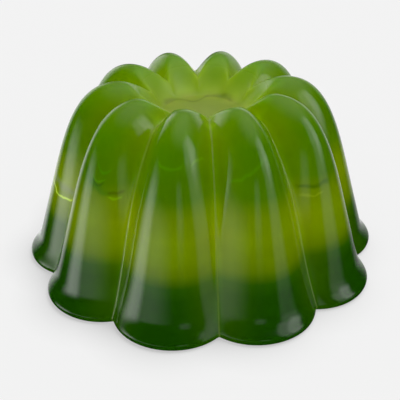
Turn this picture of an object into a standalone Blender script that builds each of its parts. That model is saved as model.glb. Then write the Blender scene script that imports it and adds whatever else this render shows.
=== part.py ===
"""Moulded jelly: a low fluted dome of ten round lobes with a shallow well in its crown.

The jelly was poured and set in three layers, so it is three solids that lie one on another.
The dome stands on Z = 0 with its axis on Z, and one of the grooves between lobes faces -Y.
Lengths are in metres.
"""

import math

import bpy
import numpy as np

# Driving dimensions
LOBES = 10
FOOT_RADIUS = 0.0675  # axis to the tip of a lobe, at the foot
HEIGHT = 0.0683  # foot to the crests of the lobes
CREST_RADIUS = 0.0299  # axis to the highest point of a lobe
WELL_RADIUS = 0.0143  # flat round floor of the well in the crown
WELL_FLOOR = 0.0563  # its height above the foot
JOINT_HEIGHTS = (0.0212, 0.0445)  # where one poured layer ends and the next begins
JOINT_GAP = 0.0003

# Line along the crest of a lobe, as (radius, height), from the foot up
LIP_WIDTH = 0.0017  # rounded lower edge
LIP_RISE = 0.0012
WALL_FOOT = np.array((0.0642, 0.0049))  # the flare of the foot ends here
WALL_HEAD = np.array((0.0563, 0.0312))  # the shoulder begins here
CREST = np.array((CREST_RADIUS, HEIGHT))
WELL_EDGE = np.array((WELL_RADIUS, WELL_FLOOR))
FLARE_PULL = 0.0015  # lengths of the curves' handles
SHOULDER_PULL = 0.0211
CREST_PULL_OUT = 0.0151
CREST_PULL_IN = 0.0083
WELL_PULL = np.array((0.0021, 0.0059))

# Line along the bottom of a groove, as (radius, height)
GROOVE_CURVE = [np.array(p) for p in ((0.0607, 0.0), (0.0467, 0.0270), (0.0506, 0.0385), (0.0316, 0.0603))]
GROOVE_FLARE_TOP = 0.0020  # below this height the groove runs straight down
GROOVE_SHOULDER = 0.0587  # height at which the groove turns in
GROOVE_RIM = np.array((0.0197, 0.0618))  # its highest point
RIM_PULL = 0.0044
GROOVE_WELL_PULL = 0.0021
RIM_SHARE = 0.4  # share of the shoulder's rows that the turn takes

# Cross-section of a lobe at the foot, wall foot, wall head, crest and well
ROUNDNESS = (1.42, 1.66, 1.94, 2.00, 2.28)  # 1 is a half circle, and more is flatter
NARROWNESS = (1.00, 1.05, 1.10, 1.30, 1.30)  # more widens the groove

# Facets
LIP_ROWS = 3
FLARE_ROWS = 3
WALL_ROWS = 5
SHOULDER_ROWS = 10
WELL_ROWS = 7
FACETS_PER_LOBE = 12

# Node, colour and roughness of each layer, from the foot up
LAYERS = (
    ("base_layer", "#1C4A04", 0.08),
    ("middle_layer", "#66820A", 0.08),
    ("top_layer", "#3F6C04", 0.08),
)


def clear_scene():
    """Remove every object that is already there."""
    for obj in list(bpy.data.objects):
        bpy.data.objects.remove(obj, do_unlink=True)


def bezier(start, pull_start, pull_end, end, rows):
    """Points of a cubic curve: one at each end and one after each row."""
    t = np.linspace(0.0, 1.0, rows + 1)[:, None]
    s = 1.0 - t
    return s**3 * start + 3 * s**2 * t * pull_start + 3 * s * t**2 * pull_end + t**3 * end


def unit(vector):
    return vector / np.linalg.norm(vector)


def lip_inset():
    """How far each row of the rounded lower edge stands in from the foot's full radius."""
    angle = np.linspace(-math.pi / 2, 0.0, LIP_ROWS + 1)
    return LIP_WIDTH * (1.0 - np.cos(angle)), LIP_RISE * (1.0 + np.sin(angle))


def crest_line():
    """Radius and height along the crest: lip, flare, wall, shoulder, and down into the well."""
    up = np.array((0.0, 1.0))
    out = np.array((1.0, 0.0))
    along_wall = unit(WALL_HEAD - WALL_FOOT)
    inset, rise = lip_inset()
    lip = np.stack([FOOT_RADIUS - inset, rise], axis=1)
    flare = bezier(lip[-1], lip[-1] + FLARE_PULL * up, WALL_FOOT - FLARE_PULL * along_wall, WALL_FOOT, FLARE_ROWS)
    wall = np.linspace(WALL_FOOT, WALL_HEAD, WALL_ROWS + 1)
    shoulder = bezier(
        WALL_HEAD, WALL_HEAD + SHOULDER_PULL * along_wall, CREST + CREST_PULL_OUT * out, CREST, SHOULDER_ROWS
    )
    well = bezier(CREST, CREST - CREST_PULL_IN * out, WELL_EDGE + WELL_PULL, WELL_EDGE, WELL_ROWS)
    return np.concatenate([lip, flare[1:], wall[1:], shoulder[1:], well[1:]])


def groove_line(crest):
    """Radius and height along a groove, row for row with the crest line."""
    curve = bezier(*GROOVE_CURVE, 200)

    def groove_at(heights):
        radii = np.interp(np.maximum(heights, GROOVE_FLARE_TOP), curve[:, 1], curve[:, 0])
        return np.stack([radii, heights], axis=1)

    wall = groove_at(crest[: LIP_ROWS + FLARE_ROWS + WALL_ROWS + 1, 1])
    wall[: LIP_ROWS + 1, 0] -= lip_inset()[0]
    rim_rows = round(RIM_SHARE * SHOULDER_ROWS)
    rise = groove_at(np.linspace(WALL_HEAD[1], GROOVE_SHOULDER, SHOULDER_ROWS - rim_rows + 1))
    turn = RIM_PULL * unit(rise[-1] - rise[-2])
    out = np.array((1.0, 0.0))
    rim = bezier(rise[-1], rise[-1] + turn, GROOVE_RIM + RIM_PULL * out, GROOVE_RIM, rim_rows)
    well_pull = GROOVE_WELL_PULL * out
    well = bezier(GROOVE_RIM, GROOVE_RIM - well_pull, WELL_EDGE + well_pull, WELL_EDGE, WELL_ROWS)
    return np.concatenate([wall, rise[1:], rim[1:], well[1:]])


def row_stages():
    """Place of each row on a scale of 0 foot, 1 wall foot, 2 wall head, 3 crest and 4 well."""
    spans = (LIP_ROWS + FLARE_ROWS, WALL_ROWS, SHOULDER_ROWS, WELL_ROWS)
    return np.interp(np.arange(sum(spans) + 1), np.cumsum((0,) + spans), np.arange(len(spans) + 1))


def lobe_share(across, roundness, narrowness):
    """Share of the way from groove to crest, for -1 to 1 across a lobe."""
    flat = np.sqrt(roundness**2 - 1.0)
    arc = (np.sqrt(roundness**2 - across**2) - flat) / (roundness - flat)
    return np.clip(arc, 0.0, 1.0) ** narrowness


def dome_mesh():
    """Closed mesh of the whole fluted dome, lofted from the grooves to the crests."""
    crest = crest_line()
    groove = groove_line(crest)
    stages = row_stages()
    roundness = np.interp(stages, np.arange(len(ROUNDNESS)), ROUNDNESS)
    narrowness = np.interp(stages, np.arange(len(NARROWNESS)), NARROWNESS)
    across = np.sin(np.linspace(-math.pi / 2, math.pi / 2, FACETS_PER_LOBE + 1)[:-1])
    half_lobe = math.pi / LOBES
    verts = []
    for row in range(len(crest)):
        share = lobe_share(across, roundness[row], narrowness[row])[:, None]
        section = groove[row] + (crest[row] - groove[row]) * share
        for lobe in range(LOBES):
            for (radius, height), side in zip(section, across):
                angle = half_lobe * (2 * lobe + 1 + side)
                verts.append((radius * math.sin(angle), -radius * math.cos(angle), height))
    ring = LOBES * FACETS_PER_LOBE
    faces = [tuple(reversed(range(ring)))]
    for row in range(len(crest) - 1):
        for i in range(ring):
            j = (i + 1) % ring
            faces.append((row * ring + i, row * ring + j, (row + 1) * ring + j, (row + 1) * ring + i))
    faces.append(tuple(range(len(verts) - ring, len(verts))))
    mesh = bpy.data.meshes.new("fluted_dome")
    mesh.from_pydata(verts, [], faces)
    mesh.shade_smooth()
    mesh.validate()
    return mesh


def linear_colour(hex_code):
    """Linear RGBA of an sRGB hex colour."""
    values = [int(hex_code[i : i + 2], 16) / 255 for i in (1, 3, 5)]
    return [v / 12.92 if v <= 0.04045 else ((v + 0.055) / 1.055) ** 2.4 for v in values] + [1.0]


def jelly_material(name, hex_code, roughness):
    material = bpy.data.materials.new(name)
    material.use_nodes = True
    surface = material.node_tree.nodes["Principled BSDF"]
    surface.inputs["Base Color"].default_value = linear_colour(hex_code)
    surface.inputs["Roughness"].default_value = roughness
    surface.inputs["Metallic"].default_value = 0.0
    return material


def slab(name, bottom, top, cutters):
    """Round slab, wider than the dome, that holds one layer between its two faces."""
    depth = top - bottom
    bpy.ops.mesh.primitive_cylinder_add(
        vertices=48, radius=1.3 * FOOT_RADIUS, depth=depth, location=(0.0, 0.0, bottom + depth / 2)
    )
    cutter = bpy.context.object
    cutter.name = name
    cutter.hide_render = True
    cutter.display_type = "WIRE"
    for collection in list(cutter.users_collection):
        collection.objects.unlink(cutter)
    cutters.objects.link(cutter)
    return cutter


def main():
    clear_scene()
    jelly = bpy.data.collections.new("moulded_jelly")
    cutters = bpy.data.collections.new("layer_cutters")
    for collection in (jelly, cutters):
        bpy.context.scene.collection.children.link(collection)
    axis = bpy.data.objects.new("dome_axis", None)
    jelly.objects.link(axis)
    dome = dome_mesh()
    bottoms = [-JOINT_GAP] + [height + JOINT_GAP / 2 for height in JOINT_HEIGHTS]
    tops = [height - JOINT_GAP / 2 for height in JOINT_HEIGHTS] + [HEIGHT + 10 * JOINT_GAP]
    for (name, colour, roughness), bottom, top in zip(LAYERS, bottoms, tops):
        layer = bpy.data.objects.new(name, dome.copy())
        layer.data.materials.append(jelly_material(name, colour, roughness))
        layer.parent = axis
        jelly.objects.link(layer)
        cut = layer.modifiers.new("layer", "BOOLEAN")
        cut.operation = "INTERSECT"
        cut.solver = "EXACT"
        cut.object = slab(name + "_slab", bottom, top, cutters)
    bpy.data.meshes.remove(dome)


main()
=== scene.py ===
"""Finish of the moulded jelly: one smooth wet body in place of the three faceted layers."""

import math

import bpy
import numpy as np
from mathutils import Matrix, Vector


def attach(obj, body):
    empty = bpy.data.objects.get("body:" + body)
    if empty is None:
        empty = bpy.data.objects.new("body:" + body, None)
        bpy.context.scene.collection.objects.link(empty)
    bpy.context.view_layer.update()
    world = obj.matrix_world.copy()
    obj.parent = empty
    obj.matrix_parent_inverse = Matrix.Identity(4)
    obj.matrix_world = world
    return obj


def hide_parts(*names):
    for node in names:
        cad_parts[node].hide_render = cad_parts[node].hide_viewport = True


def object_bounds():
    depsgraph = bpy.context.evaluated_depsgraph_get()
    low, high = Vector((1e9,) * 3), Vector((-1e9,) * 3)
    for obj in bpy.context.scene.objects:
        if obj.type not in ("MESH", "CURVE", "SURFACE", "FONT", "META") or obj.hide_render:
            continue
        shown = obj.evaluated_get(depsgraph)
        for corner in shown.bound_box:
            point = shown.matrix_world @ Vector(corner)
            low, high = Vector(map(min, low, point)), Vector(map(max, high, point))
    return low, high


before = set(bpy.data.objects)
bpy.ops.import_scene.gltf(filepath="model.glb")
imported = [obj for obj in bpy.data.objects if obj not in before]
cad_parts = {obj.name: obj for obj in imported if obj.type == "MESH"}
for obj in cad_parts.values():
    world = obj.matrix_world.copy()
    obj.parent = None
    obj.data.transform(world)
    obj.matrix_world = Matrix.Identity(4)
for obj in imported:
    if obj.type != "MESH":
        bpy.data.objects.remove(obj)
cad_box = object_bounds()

# The mould is set out in millimetres, and the foot that the frame gives sets its scale
MOULD_RADIUS = 67.5
MM = cad_box[1].x / MOULD_RADIUS
MOULD_HEIGHT = cad_box[1].z / MM

# Line along the crest of a lobe, as (radius, height). A pull is the length of a curve's handle.
LOBES = 10
LIP_WIDTH = 1.2
LIP_RISE = 1.9
WALL_FOOT = np.array((63.1, 8.6))
WALL_HEAD = np.array((56.3, 31.2))
CREST = np.array((29.9, MOULD_HEIGHT))
WELL_EDGE = np.array((14.3, 56.3))
FLARE_RISE = 1.6
FLARE_PULL = 4.2
SHOULDER_PULL = 21.1
CREST_PULL_OUT = 15.1
CREST_PULL_IN = 8.3
WELL_PULL = np.array((4.4, 1.6))

# Line along the bottom of a groove
GROOVE_CURVE = [np.array(p) for p in ((60.7, 0.0), (46.7, 27.0), (50.6, 38.5), (31.6, 60.3))]
GROOVE_CURVE_STEPS = 400
GROOVE_FLARE_TOP = 2.0  # below this height the groove runs straight down
GROOVE_SHOULDER = 58.7  # height at which the groove turns in
GROOVE_RIM = np.array((19.7, 61.8))  # its highest point
RIM_PULL = 4.4
GROOVE_WELL_PULL = 2.6
RIM_SHARE = 0.4  # share of the shoulder's rows that the turn takes

# Cross-section of a lobe at the foot, wall foot, wall head, crest and well
ROUNDNESS = (1.42, 1.66, 1.94, 2.00, 2.28)  # 1 is a half circle, and more is flatter
NARROWNESS = (1.00, 1.05, 1.10, 1.30, 1.30)  # more widens the groove
GROOVE_FILLET = 0.05  # rounding at the bottom of a groove, as a share of its depth

# Rows of faces up each stretch of a line, and across a lobe
LIP_ROWS = 8
FLARE_ROWS = 18
WALL_ROWS = 26
SHOULDER_ROWS = 50
WELL_ROWS = 30
FACETS_PER_LOBE = 32
FLOOR_RINGS = (0.96, 0.9, 0.7, 0.4, 0.1)  # rings in the well's floor, as shares of its radius

UP = np.array((0.0, 1.0))
OUT = np.array((1.0, 0.0))


def bezier(start, pull_start, pull_end, end, rows):
    """Points along a curve between two ends, with a handle for each."""
    t = np.linspace(0.0, 1.0, rows + 1)[:, None]
    s = 1.0 - t
    return s**3 * start + 3 * s**2 * t * pull_start + 3 * s * t**2 * pull_end + t**3 * end


def unit(vector):
    return vector / np.linalg.norm(vector)


def lip_inset():
    """How far the rounded lip stands in from the foot's radius, and its heights."""
    angle = np.linspace(-math.pi / 2, 0.0, LIP_ROWS + 1)
    return LIP_WIDTH * (1.0 - np.cos(angle)), LIP_RISE * (1.0 + np.sin(angle))


def crest_line():
    """The crest of a lobe: lip, flare, wall, shoulder, and down into the well."""
    along_wall = unit(WALL_HEAD - WALL_FOOT)
    inset, rise = lip_inset()
    lip = np.stack([MOULD_RADIUS - inset, rise], axis=1)
    flare_start = lip[-1] + FLARE_RISE * UP
    flare = bezier(lip[-1], flare_start, WALL_FOOT - FLARE_PULL * along_wall, WALL_FOOT, FLARE_ROWS)
    wall = np.linspace(WALL_FOOT, WALL_HEAD, WALL_ROWS + 1)
    shoulder_start = WALL_HEAD + SHOULDER_PULL * along_wall
    shoulder = bezier(WALL_HEAD, shoulder_start, CREST + CREST_PULL_OUT * OUT, CREST, SHOULDER_ROWS)
    well = bezier(CREST, CREST - CREST_PULL_IN * OUT, WELL_EDGE + WELL_PULL, WELL_EDGE, WELL_ROWS)
    return np.concatenate([lip, flare[1:], wall[1:], shoulder[1:], well[1:]])


def groove_line(crest):
    """The bottom of a groove, row for row with the crest."""
    curve = bezier(*GROOVE_CURVE, GROOVE_CURVE_STEPS)

    def groove_at(heights):
        radii = np.interp(np.maximum(heights, GROOVE_FLARE_TOP), curve[:, 1], curve[:, 0])
        return np.stack([radii, heights], axis=1)

    wall = groove_at(crest[: LIP_ROWS + FLARE_ROWS + WALL_ROWS + 1, 1])
    wall[: LIP_ROWS + 1, 0] -= lip_inset()[0]
    rim_rows = round(RIM_SHARE * SHOULDER_ROWS)
    rise = groove_at(np.linspace(WALL_HEAD[1], GROOVE_SHOULDER, SHOULDER_ROWS - rim_rows + 1))
    turn = RIM_PULL * unit(rise[-1] - rise[-2])
    rim = bezier(rise[-1], rise[-1] + turn, GROOVE_RIM + RIM_PULL * OUT, GROOVE_RIM, rim_rows)
    well_pull = GROOVE_WELL_PULL * OUT
    well = bezier(GROOVE_RIM, GROOVE_RIM - well_pull, WELL_EDGE + well_pull, WELL_EDGE, WELL_ROWS)
    return np.concatenate([wall, rise[1:], rim[1:], well[1:]])


def lobe_share(across, roundness, narrowness):
    """How far each point across a lobe stands out, from 0 in the groove to 1 on the crest."""
    flat = np.sqrt(roundness**2 - 1.0)
    arc = (np.sqrt(roundness**2 - across**2) - flat) / (roundness - flat)
    share = np.clip(arc, 0.0, 1.0) ** narrowness
    return np.hypot(share, GROOVE_FILLET) / math.hypot(1.0, GROOVE_FILLET)


def dome_mesh():
    """The whole body: rings from the foot up, over the crown and across the well's floor."""
    crest = crest_line()
    groove = groove_line(crest)
    spans = (LIP_ROWS + FLARE_ROWS, WALL_ROWS, SHOULDER_ROWS, WELL_ROWS)
    stages = np.interp(np.arange(len(crest)), np.cumsum((0,) + spans), np.arange(len(spans) + 1))
    roundness = np.interp(stages, np.arange(len(ROUNDNESS)), ROUNDNESS)
    narrowness = np.interp(stages, np.arange(len(NARROWNESS)), NARROWNESS)
    across = np.sin(np.linspace(-math.pi / 2, math.pi / 2, FACETS_PER_LOBE + 1)[:-1])
    lobe = np.arange(LOBES)[:, None]
    angle = (math.pi / LOBES * (2 * lobe + 1 + across)).ravel()
    rings = []
    for row in range(len(crest)):
        share = lobe_share(across, roundness[row], narrowness[row])[:, None]
        rings.append(np.tile(groove[row] + (crest[row] - groove[row]) * share, (LOBES, 1)))
    for ratio in FLOOR_RINGS:
        rings.append(np.tile(WELL_EDGE * (ratio, 1.0), (len(angle), 1)))
    rings = np.array(rings)
    radii, heights = rings[..., 0], rings[..., 1]
    verts = np.stack([radii * np.sin(angle), -radii * np.cos(angle), heights], axis=-1)
    ring = len(angle)
    faces = [tuple(reversed(range(ring)))]
    for row in range(len(rings) - 1):
        for i in range(ring):
            j = (i + 1) % ring
            low, high = row * ring, (row + 1) * ring
            faces.append((low + i, low + j, high + j, high + i))
    faces.append(tuple(range(len(rings) * ring - ring, len(rings) * ring)))
    mesh = bpy.data.meshes.new("jelly_body")
    mesh.from_pydata((verts.reshape(-1, 3) * MM).tolist(), [], faces)
    mesh.shade_smooth()
    mesh.validate()
    return mesh


def linear(hex_code):
    """Linear RGBA of an sRGB hex colour."""
    values = [int(hex_code[i : i + 2], 16) / 255 for i in (1, 3, 5)]
    return [v / 12.92 if v <= 0.04045 else ((v + 0.055) / 1.055) ** 2.4 for v in values] + [1.0]


def add(tree, kind, inputs=None, stops=(), **settings):
    """
    Add a node: settings are its own properties, inputs are values or sockets by the socket's name
    or number, and stops are the places and colours of a ramp. On a Map Range, 0 is what goes in,
    1 and 2 are the range that it has, and 3 and 4 the range that it gets.
    """
    node = tree.nodes.new(kind)
    for key, value in settings.items():
        setattr(node, key, value)
    for key, value in (inputs or {}).items():
        if isinstance(value, bpy.types.NodeSocket):
            tree.links.new(value, node.inputs[key])
        else:
            node.inputs[key].default_value = value
    for i, (place, colour) in enumerate(stops):
        ramp = node.color_ramp
        stop = ramp.elements[i] if i < len(ramp.elements) else ramp.elements.new(place)
        stop.position = place
        stop.color = linear(colour)
    return node


# Colours of the three layers up a crest and up a groove. A place is the height in millimetres, plus
# INWARD_WEIGHT times the way in from the crest of the crown. The groove colours are paler, and paler
# still on the inner side of the crown and over the well: painted light, as if more came through the
# thin jelly there.
INWARD_WEIGHT = 2.2
PLACES_END = 110.0
LAYER_AND_PAINTED_LIGHT_COLOURS = (
    # base layer, dark green
    (1.0, "#154600", "#255200"),
    (8.0, "#184800", "#325D00"),
    (15.5, "#1B4B00", "#3A6300"),
    (19.4, "#275800", "#466C00"),
    # middle layer, yellow-green
    (23.3, "#5D7900", "#6C8700"),
    (27.0, "#6D8800", "#799200"),
    (34.0, "#769100", "#869C00"),
    (41.0, "#6C8800", "#799400"),
    # top layer, mid green, up to the crown
    (46.6, "#4E7900", "#638A00"),
    (53.0, "#4C7A00", "#688F00"),
    (60.0, "#4F8100", "#789800"),
    (67.0, "#628E00", "#88AE00"),
    (74.0, "#679900", "#87A600"),
    # down the side of the well and over its floor, paler: painted light through the thin crown, and a
    # pale tint that is a painted reflection of the sky
    (84.0, "#86AC1F", "#8DB000"),
    (87.0, "#A0BD39", "#99B72C"),
    (91.0, "#9DAE40", "#8FA72F"),
    (100.0, "#90A440", "#90A440"),
)
GROOVE_FALL = 2.2  # how fast the groove's colours give way to the crest's, as a power

# Painted light along the bottom of a groove, as if more came through the thin jelly there: half
# width in millimetres and gain of a broad glow, then half width, colour and strength of the thin
# painted highlight in it
PAINTED_GROOVE_GLOW = (2.4, 0.28)
PAINTED_GROOVE_HIGHLIGHT = (0.5, "#A0AE60", 0.25)

# Painted refraction lines inside the jelly: bright and dark curves that light, bent in the clear
# gelatine, draws near the joints between the layers, and light and dark wavy lines on one lobe.
# Each has the bearings of its two ends in degrees from -Y towards +X, places at the first end,
# middle and last end, width in millimetres, colour and strength
MARKS = (
    ("left_bright_line", (-91.0, -71.5), (35.2, 29.9, 29.8), 0.7, "#CCEC50", 0.9),
    ("left_grey_patch", (-90.0, -71.0), (37.8, 33.2, 32.6), 3.4, "#84906C", 0.5),
    ("sloping_dark_line", (-58.0, -40.0), (53.0, 45.5, 43.0), 3.0, "#2A7000", 0.4),
    ("upper_ripple", (-50.5, -44.0), (53.5, 50.0, 51.5), 0.7, "#4E9A00", 0.5),
    ("lower_ripple", (-51.5, -45.0), (50.0, 47.0, 48.5), 0.7, "#58A000", 0.5),
    ("dark_ripple", (-51.0, -45.5), (48.6, 45.8, 47.0), 0.9, "#1F5210", 0.45),
    ("lower_dark_band", (-44.5, -38.5), (43.8, 43.4, 43.8), 1.6, "#4C5400", 0.5),
    ("lower_bright_line", (-44.0, -39.0), (41.9, 41.6, 41.7), 0.5, "#8CBC00", 0.55),
    ("front_bright_line", (-24.0, -12.0), (57.4, 56.2, 57.0), 1.0, "#5CA000", 0.45),
    ("middle_bright_line", (-10.5, -4.0), (56.2, 57.2, 56.0), 0.9, "#80B400", 0.32),
    ("right_green_line", (4.0, 20.0), (50.0, 53.6, 57.6), 1.2, "#5C9C00", 0.4),
    ("joint_shade", (37.0, 51.0), (43.4, 42.9, 44.0), 1.8, "#345C00", 0.55),
    ("joint_bright_line", (37.5, 47.0), (40.5, 40.1, 40.3), 0.9, "#A8BE28", 0.3),
)

# Painted shade: the wavy dark line round the well's floor, in the crease where the crown's inner
# faces meet it, in three marks. A reach from the axis in millimetres stands for a place, and each
# mark comes twice, half a turn apart.
WELL_CREASE_SHADE = (
    ("right_rim", (-62.0, -2.0), (13.9, 15.1, 13.0), 2.2, "#5C7014", 0.42),
    ("floor_dark_line", (-18.0, 33.0), (16.2, 10.2, 12.3), 2.4, "#5C7014", 0.42),
    ("left_rim", (12.0, 68.0), (9.0, 14.3, 14.6), 3.0, "#5C7014", 0.42),
)
MARK_SOFTNESS = 0.3  # how far the edge of a mark fades out, in millimetres
MARK_TIP = 0.6  # where its tips start to fade, as a share of its half length
RIPPLE_LENGTH = 4.55  # the marks waver at this length
RIPPLE_REACH = 1.5  # by up to this much either way
RIPPLE_DETAIL = 1.5

CLOUD_WIDTH = 11.1  # cloudy patches in the gelatine, in millimetres
CLOUD_DETAIL = 4.0
CLOUD_RANGE = (0.3, 0.7)  # the noise's own darkest and lightest, at this detail
CLOUD_DEPTH = 0.07  # how much darker and lighter they make the colour

GELATINE_IOR = 1.38  # water has 1.33, and the sugar and gelatine in it add the rest
GLOSSY_ROUGHNESS = 0.1
DULL_ROUGHNESS = 0.4
WELL_SKIN = (27.0, 20.0)  # reach from the axis over which the glossy skin turns into the dull one
SCATTER_DEPTH = 0.002  # how far light spreads under the skin, in metres
SCATTER_SHARES = (1.0, 1.0, 0.3)  # of that, for red, green and blue, as green jelly soaks up blue


def mark(tree, colour, bearing, level, waver, name, ends, levels, width, hex_code, strength):
    """Paint one curved line of light or shade over a colour, at the given levels along the given bearings.
    """
    first, last = ends
    start, middle, end = levels
    rise = (end - start) / 2
    sag = (start + end) / 2 - middle
    spread = {0: bearing, 1: first, 2: last, 3: -1.0, 4: 1.0}
    along = add(tree, "ShaderNodeMapRange", spread, clamp=False).outputs[0]
    slope = add(tree, "ShaderNodeMath", {0: along, 1: sag, 2: rise}, operation="MULTIPLY_ADD").outputs[0]
    line = add(tree, "ShaderNodeMath", {0: along, 1: slope, 2: middle}, operation="MULTIPLY_ADD").outputs[0]
    off = add(tree, "ShaderNodeMath", {0: level, 1: line}, operation="SUBTRACT").outputs[0]
    waved = add(tree, "ShaderNodeMath", {0: off, 1: waver}).outputs[0]
    away = add(tree, "ShaderNodeMath", {0: waved}, operation="ABSOLUTE").outputs[0]
    near = {0: away, 1: width / 2 + MARK_SOFTNESS, 2: 0.0, 4: strength}
    across = add(tree, "ShaderNodeMapRange", near, interpolation_type="SMOOTHSTEP").outputs[0]
    distance = add(tree, "ShaderNodeMath", {0: along}, operation="ABSOLUTE").outputs[0]
    tip = {0: distance, 1: 1.0, 2: MARK_TIP}
    tips = add(tree, "ShaderNodeMapRange", tip, interpolation_type="SMOOTHSTEP").outputs[0]
    share = add(tree, "ShaderNodeMath", {0: across, 1: tips}, operation="MULTIPLY").outputs[0]
    over = {"Factor": share, 6: colour, 7: linear(hex_code)}
    return add(tree, "ShaderNodeMix", over, data_type="RGBA", label=name).outputs[2]


def layers_with_painted_light(tree, way, to_crest):
    """The three layers' colours between those of a crest and of a groove, with painted light in them:
    paler grooves and a paler well, painted as light through thin jelly, and a painted reflection in the
    well.
    """
    place = add(tree, "ShaderNodeMath", {0: way, 1: PLACES_END}, operation="DIVIDE").outputs[0]
    stops = [spot / PLACES_END for spot, _, _ in LAYER_AND_PAINTED_LIGHT_COLOURS]
    on_crest = zip(stops, [crest for _, crest, _ in LAYER_AND_PAINTED_LIGHT_COLOURS])
    in_groove = zip(stops, [groove for _, _, groove in LAYER_AND_PAINTED_LIGHT_COLOURS])
    crest_colour = add(tree, "ShaderNodeValToRGB", {0: place}, on_crest).outputs[0]
    groove_colour = add(tree, "ShaderNodeValToRGB", {0: place}, in_groove).outputs[0]
    squared = add(tree, "ShaderNodeMath", {0: to_crest, 1: 2.0}, operation="POWER").outputs[0]
    from_crest = add(tree, "ShaderNodeMath", {0: 1.0, 1: squared}, operation="SUBTRACT").outputs[0]
    near_groove = add(tree, "ShaderNodeMath", {0: from_crest, 1: GROOVE_FALL}, operation="POWER").outputs[0]
    blend = {"Factor": near_groove, 6: crest_colour, 7: groove_colour}
    return add(tree, "ShaderNodeMix", blend, data_type="RGBA").outputs[2]


def painted_groove_light(tree, colour, to_crest, reach, well):
    """Painted light along the bottom of each groove, outside the well: a broad glow, and a thin pale
    painted highlight in it.
    """
    outside = add(tree, "ShaderNodeMath", {0: 1.0, 1: well}, operation="SUBTRACT").outputs[0]
    sideways = add(tree, "ShaderNodeMath", {0: to_crest, 1: reach}, operation="MULTIPLY").outputs[0]
    width, gain = PAINTED_GROOVE_GLOW
    spread = {0: sideways, 1: width * LOBES / 2, 2: 0.0, 4: gain}
    glow = add(tree, "ShaderNodeMapRange", spread, interpolation_type="SMOOTHSTEP").outputs[0]
    lift = add(tree, "ShaderNodeMath", {0: glow, 1: outside, 2: 1.0}, operation="MULTIPLY_ADD").outputs[0]
    lifted = add(tree, "ShaderNodeVectorMath", {0: colour, 3: lift}, operation="SCALE").outputs[0]
    width, hex_code, strength = PAINTED_GROOVE_HIGHLIGHT
    spread = {0: sideways, 1: width * LOBES / 2, 2: 0.0, 4: strength}
    line = add(tree, "ShaderNodeMapRange", spread, interpolation_type="SMOOTHSTEP").outputs[0]
    share = add(tree, "ShaderNodeMath", {0: line, 1: outside}, operation="MULTIPLY").outputs[0]
    over = {"Factor": share, 6: lifted, 7: linear(hex_code)}
    return add(tree, "ShaderNodeMix", over, data_type="RGBA").outputs[2]


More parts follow.
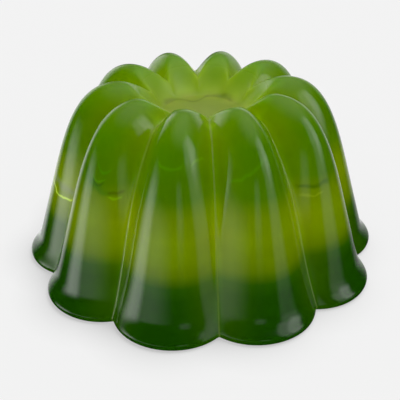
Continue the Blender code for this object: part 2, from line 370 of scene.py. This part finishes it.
def jelly_material():
    """
    Gelatine jelly, poured in three layers, set, and turned out of a polished fluted mould. The
    mould and the wet skin give it sharp, bright reflections, and the light that gets through the
    skin spreads a little way and comes out green. In the well the skin has dried dull. Its milky
    pale tint there is painted: light as if passing through the thin crown, and a painted reflection
    of the sky.
    """
    material = bpy.data.materials.new("gelatine_jelly")
    material.use_nodes = True
    tree = material.node_tree
    surface = tree.nodes["Principled BSDF"]

    # Where a point is, in millimetres and radians
    object_space = add(tree, "ShaderNodeTexCoord").outputs["Object"]
    in_mm = {0: object_space, 3: 1.0 / MM}
    millimetres = add(tree, "ShaderNodeVectorMath", in_mm, operation="SCALE").outputs[0]
    x, y, height = add(tree, "ShaderNodeSeparateXYZ", {0: millimetres}).outputs
    flat = add(tree, "ShaderNodeCombineXYZ", {0: x, 1: y}).outputs[0]
    reach = add(tree, "ShaderNodeVectorMath", {0: flat}, operation="LENGTH").outputs["Value"]
    back = add(tree, "ShaderNodeMath", {0: y, 1: -1.0}, operation="MULTIPLY").outputs[0]
    turn = add(tree, "ShaderNodeMath", {0: x, 1: back}, operation="ARCTAN2").outputs[0]
    inward = {0: reach, 1: CREST[0], 2: 0.0, 4: CREST[0] * INWARD_WEIGHT}
    way_in = add(tree, "ShaderNodeMapRange", inward).outputs[0]
    way = add(tree, "ShaderNodeMath", {0: height, 1: way_in}).outputs[0]
    wave = add(tree, "ShaderNodeMath", {0: turn, 1: LOBES / 2}, operation="MULTIPLY").outputs[0]
    swing = add(tree, "ShaderNodeMath", {0: wave}, operation="SINE").outputs[0]
    to_crest = add(tree, "ShaderNodeMath", {0: swing}, operation="ABSOLUTE").outputs[0]
    start, end = WELL_SKIN
    skin = {0: reach, 1: start, 2: end}
    well = add(tree, "ShaderNodeMapRange", skin, interpolation_type="SMOOTHSTEP").outputs[0]

    # The layers' colours with painted light in them, then painted light and a painted highlight along the
    # grooves
    colour = layers_with_painted_light(tree, way, to_crest)
    colour = painted_groove_light(tree, colour, to_crest, reach, well)

    # The painted refraction lines and wavy lines, then the painted shade round the well's floor, all
    # wavering a little
    degrees = add(tree, "ShaderNodeMath", {0: turn}, operation="DEGREES").outputs[0]
    half_turn = {0: degrees, 1: 90.0, 2: -90.0}
    well_bearing = add(tree, "ShaderNodeMath", half_turn, operation="WRAP").outputs[0]
    ripples = {"Vector": millimetres, "Scale": 1.0 / RIPPLE_LENGTH, "Detail": RIPPLE_DETAIL}
    ripple = add(tree, "ShaderNodeTexNoise", ripples).outputs[0]
    waver = add(tree, "ShaderNodeMapRange", {0: ripple, 3: -RIPPLE_REACH, 4: RIPPLE_REACH}).outputs[0]
    for row in MARKS:
        colour = mark(tree, colour, degrees, way, waver, *row)
    for row in WELL_CREASE_SHADE:
        colour = mark(tree, colour, well_bearing, reach, waver, *row)

    # Cloud in the gelatine, broad and weak
    patches = {"Vector": millimetres, "Scale": 1.0 / CLOUD_WIDTH, "Detail": CLOUD_DETAIL}
    cloud = add(tree, "ShaderNodeTexNoise", patches).outputs[0]
    darkest, lightest = CLOUD_RANGE
    depth = {0: cloud, 1: darkest, 2: lightest, 3: 1.0 - CLOUD_DEPTH, 4: 1.0 + CLOUD_DEPTH}
    shade = add(tree, "ShaderNodeMapRange", depth).outputs[0]
    clouded = add(tree, "ShaderNodeVectorMath", {0: colour, 3: shade}, operation="SCALE").outputs[0]
    tree.links.new(clouded, surface.inputs["Base Color"])

    rough = {0: well, 3: GLOSSY_ROUGHNESS, 4: DULL_ROUGHNESS}
    roughness = add(tree, "ShaderNodeMapRange", rough).outputs[0]
    tree.links.new(roughness, surface.inputs["Roughness"])
    surface.inputs["IOR"].default_value = GELATINE_IOR
    surface.inputs["Subsurface Weight"].default_value = 1.0
    surface.inputs["Subsurface Radius"].default_value = SCATTER_SHARES
    surface.inputs["Subsurface Scale"].default_value = SCATTER_DEPTH
    return material


# Floor, with the soft shade round the foot of the jelly
PAPER_COLOUR = "#4A4A4A"  # dull, because nearly all of its brightness is its own glow
PAPER_ROUGHNESS = 0.9
SHADE_REACH = 14.0  # how far from the jelly its contact shade fades out, in millimetres
SHADE_LEAN = (0.5, 0.35, 1.0)  # the open side, from behind and the right, that leaves the shade in front
SHADE_SAMPLES = 16
OPEN_SKY = (0.35, 1.0)  # open share at the foot of the jelly, and well clear of it
SHADE_CURVE = 0.3  # power that keeps the shade close to the foot
PAPER_GLOW = (0.22, 0.835)  # glow where no sky is open, and in the clear
DARKEST_GLOW = 0.5


def floor_material():
    """
    Matt white paper under a broad even light. The paper gives the light off itself, so that no
    lamp's edge shows on it, and it dims in a soft shade where the jelly stands.
    """
    material = bpy.data.materials.new("paper_sweep")
    material.use_nodes = True
    tree = material.node_tree
    surface = tree.nodes["Principled BSDF"]
    surface.inputs["Base Color"].default_value = linear(PAPER_COLOUR)
    surface.inputs["Roughness"].default_value = PAPER_ROUGHNESS
    surface.inputs["Specular IOR Level"].default_value = 0.0
    surface.inputs["Emission Color"].default_value = linear("#FFFFFF")
    lean = add(tree, "ShaderNodeCombineXYZ", dict(enumerate(SHADE_LEAN))).outputs[0]
    open_side = {"Distance": SHADE_REACH * MM, "Normal": lean}
    open_sky = add(tree, "ShaderNodeAmbientOcclusion", open_side, samples=SHADE_SAMPLES).outputs["AO"]
    at_foot, clear = OPEN_SKY
    open_share = add(tree, "ShaderNodeMapRange", {0: open_sky, 1: at_foot, 2: clear}).outputs[0]
    soft = add(tree, "ShaderNodeMath", {0: open_share, 1: SHADE_CURVE}, operation="POWER").outputs[0]
    shaded, lit = PAPER_GLOW
    rising = add(tree, "ShaderNodeMapRange", {0: soft, 3: shaded, 4: lit}).outputs[0]
    glow = add(tree, "ShaderNodeMath", {0: rising, 1: DARKEST_GLOW}, operation="MAXIMUM").outputs[0]
    tree.links.new(glow, surface.inputs["Emission Strength"])
    return material


# Where the camera stands. Bearings are in degrees from -Y towards +X.
VIEW_BEARING = -5.33
VIEW_DISTANCE = 242.1 * MM
VIEW_HEIGHT = 157.4 * MM
VIEW_TARGET_HEIGHT = 18.8 * MM
VIEW_SHIFT = -0.0061
NEAREST_SEEN = 0.01
LENS = 64.32
SENSOR = 36.0

# Soft boxes round the jelly. Each has its bearings from the camera and its elevations as
# (dark, full, full, dark) degrees, then its radiance.
SOFT_BOXES = (
    ("left_key", (-104.5, -81.0, -72.0, -57.5), (-22.0, -14.0, -5.0, 18.0), 3.85),
    ("left_fill", (-70.0, -54.0, -45.0, 2.0), (-18.0, -10.0, -3.0, 9.0), 1.1),
    ("right_skirt", (46.0, 56.0, 74.0, 88.0), (-24.0, 4.0, 15.0, 36.0), 1.1),
    ("right_key", (60.0, 73.0, 83.0, 92.0), (3.0, 20.0, 40.0, 57.0), 3.0),
    ("right_top", (41.0, 52.0, 64.0, 76.0), (16.0, 28.0, 46.0, 58.0), 1.7),
    ("front_strip", (3.0, 12.0, 17.0, 29.0), (-4.0, 4.0, 14.0, 21.0), 0.8),
    ("back_wall", (110.0, 158.0, 218.0, 242.0), (0.0, 12.0, 44.0, 58.0), 0.28),
    ("back_left", (190.0, 205.0, 224.0, 243.0), (-34.0, -20.0, 12.0, 40.0), 1.2),
    ("back_right", (118.0, 148.0, 168.0, 190.0), (-38.0, -14.0, 10.0, 34.0), 0.66),
    ("floor_behind", (145.0, 165.0, 195.0, 215.0), (-60.0, -40.0, -12.0, -2.0), 0.6),
)
BEARING_SEAM = -112.0  # the boxes' bearings count from here, where there is none

# A round ceiling light: where its middle is, how far from it the light is full and dark, in
# degrees, and its radiance
CEILING_BEARING = 120.0
CEILING_ELEVATION = 75.0
CEILING_FULL = 12.0
CEILING_DARK = 54.0
CEILING_RADIANCE = 1.0


def direction(bearing, elevation):
    """Unit vector from the jelly towards a bearing from the camera and an elevation, in degrees."""
    bearing, elevation = math.radians(bearing + VIEW_BEARING), math.radians(elevation)
    level = math.cos(elevation)
    return level * math.sin(bearing), -level * math.cos(bearing), math.sin(elevation)


def studio_world():
    """The soft boxes and the ceiling light, which show in the gloss and light nothing else."""
    world = bpy.data.worlds.new("studio")
    world.use_nodes = True
    tree = world.node_tree
    background = tree.nodes["Background"]
    background.inputs["Color"].default_value = linear("#FFFFFF")
    place = add(tree, "ShaderNodeTexCoord").outputs["Generated"]
    x, y, z = add(tree, "ShaderNodeSeparateXYZ", {0: place}).outputs
    back = add(tree, "ShaderNodeMath", {0: y, 1: -1.0}, operation="MULTIPLY").outputs[0]
    turn = add(tree, "ShaderNodeMath", {0: x, 1: back}, operation="ARCTAN2").outputs[0]
    degrees = add(tree, "ShaderNodeMath", {0: turn}, operation="DEGREES").outputs[0]
    from_view = add(tree, "ShaderNodeMath", {0: degrees, 1: VIEW_BEARING}, operation="SUBTRACT").outputs[0]
    seam = {0: from_view, 1: BEARING_SEAM + 360.0, 2: BEARING_SEAM}
    bearing = add(tree, "ShaderNodeMath", seam, operation="WRAP").outputs[0]
    lift = add(tree, "ShaderNodeMath", {0: z}, operation="ARCSINE").outputs[0]
    elevation = add(tree, "ShaderNodeMath", {0: lift}, operation="DEGREES").outputs[0]
    middle = direction(CEILING_BEARING, CEILING_ELEVATION)
    facing = add(tree, "ShaderNodeVectorMath", {0: place, 1: middle}, operation="DOT_PRODUCT")
    arc = add(tree, "ShaderNodeMath", {0: facing.outputs["Value"]}, operation="ARCCOSINE").outputs[0]
    from_middle = add(tree, "ShaderNodeMath", {0: arc}, operation="DEGREES").outputs[0]
    ceiling = {0: from_middle, 1: CEILING_DARK, 2: CEILING_FULL, 4: CEILING_RADIANCE}
    total = add(tree, "ShaderNodeMapRange", ceiling, interpolation_type="SMOOTHSTEP").outputs[0]
    for name, bearings, elevations, radiance in SOFT_BOXES:
        light = radiance
        for angle, (dark, full, last, end) in ((bearing, bearings), (elevation, elevations)):
            for low, high in ((dark, full), (end, last)):
                edge = {0: angle, 1: low, 2: high}
                fade = add(tree, "ShaderNodeMapRange", edge, interpolation_type="SMOOTHSTEP").outputs[0]
                light = add(tree, "ShaderNodeMath", {0: fade, 1: light}, operation="MULTIPLY").outputs[0]
        total = add(tree, "ShaderNodeMath", {0: light, 1: total}, label=name).outputs[0]
    tree.links.new(total, background.inputs["Strength"])
    world.cycles_visibility.diffuse = False
    bpy.context.scene.world = world


# Broad lamps that light the jelly's body, and don't show in its gloss: name, bearing from the
# camera, elevation, spread in degrees, strength in watts per square metre
BROAD_LAMPS = (
    ("dome_lamp", 0.0, 90.0, 175.0, 2.4),
    ("front_lamp", 0.0, 35.0, 90.0, 0.5),
)


def lamps():
    for name, bearing, elevation, spread, strength in BROAD_LAMPS:
        data = bpy.data.lights.new(name, "SUN")
        data.energy = strength
        data.angle = math.radians(spread)
        obj = bpy.data.objects.new(name, data)
        obj.rotation_euler = Vector(direction(bearing, elevation)).to_track_quat("Z", "Y").to_euler()
        obj.visible_glossy = False
        bpy.context.scene.collection.objects.link(obj)


def camera():
    data = bpy.data.cameras.new("view")
    data.sensor_width = SENSOR
    data.lens = LENS
    data.shift_x = VIEW_SHIFT
    data.clip_start = NEAREST_SEEN
    obj = bpy.data.objects.new("view", data)
    bearing = math.radians(VIEW_BEARING)
    obj.location = (VIEW_DISTANCE * math.sin(bearing), -VIEW_DISTANCE * math.cos(bearing), VIEW_HEIGHT)
    pitch = math.atan2(VIEW_HEIGHT - VIEW_TARGET_HEIGHT, VIEW_DISTANCE)
    obj.rotation_euler = (math.pi / 2 - pitch, 0.0, bearing)
    bpy.context.scene.collection.objects.link(obj)
    bpy.context.scene.camera = obj


# Floor and backdrop, in metres
FLOOR_RADII = (0.0, 0.3, 1.0)
BACKDROP_ROWS = 12
BACKDROP_CURVE = 0.6
BACKDROP_TOP = 2.0
STAGE_SIDES = 96


def turned_sheet(name, radii, heights):
    """A sheet turned round the upright axis from pairs of radius and height."""
    angles = [2 * math.pi * i / STAGE_SIDES for i in range(STAGE_SIDES)]
    verts = [(r * math.cos(a), r * math.sin(a), h) for r, h in zip(radii, heights) for a in angles]
    faces = []
    for row in range(len(radii) - 1):
        for i in range(STAGE_SIDES):
            j = (i + 1) % STAGE_SIDES
            low, high = row * STAGE_SIDES, (row + 1) * STAGE_SIDES
            faces.append((low + i, high + i, high + j, low + j))
    mesh = bpy.data.meshes.new(name)
    mesh.from_pydata(verts, [], faces)
    mesh.shade_smooth()
    obj = bpy.data.objects.new(name, mesh)
    bpy.context.scene.collection.objects.link(obj)
    return obj


def stage():
    """A glowing floor, and a backdrop that curves up from its edge. Neither shows in the gloss."""
    paper = floor_material()
    floor = turned_sheet("sweep", FLOOR_RADII, [0.0] * len(FLOOR_RADII))
    turns = [math.pi / 2 * i / BACKDROP_ROWS for i in range(BACKDROP_ROWS + 1)]
    radii = [FLOOR_RADII[-1] + BACKDROP_CURVE * math.sin(turn) for turn in turns]
    heights = [BACKDROP_CURVE * (1 - math.cos(turn)) for turn in turns]
    backdrop = turned_sheet("backdrop", radii + [radii[-1]], heights + [BACKDROP_TOP])
    backdrop.visible_diffuse = False
    backdrop.visible_shadow = False
    for obj in (floor, backdrop):
        obj.data.materials.append(paper)
        obj.visible_glossy = False


jelly = bpy.data.objects.new("jelly", dome_mesh())
jelly.data.materials.append(jelly_material())
bpy.context.scene.collection.objects.link(jelly)
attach(jelly, "root")
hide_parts("base_layer", "middle_layer", "top_layer")

stage()
studio_world()
lamps()
camera()
bpy.context.scene.view_settings.view_transform = "Standard"
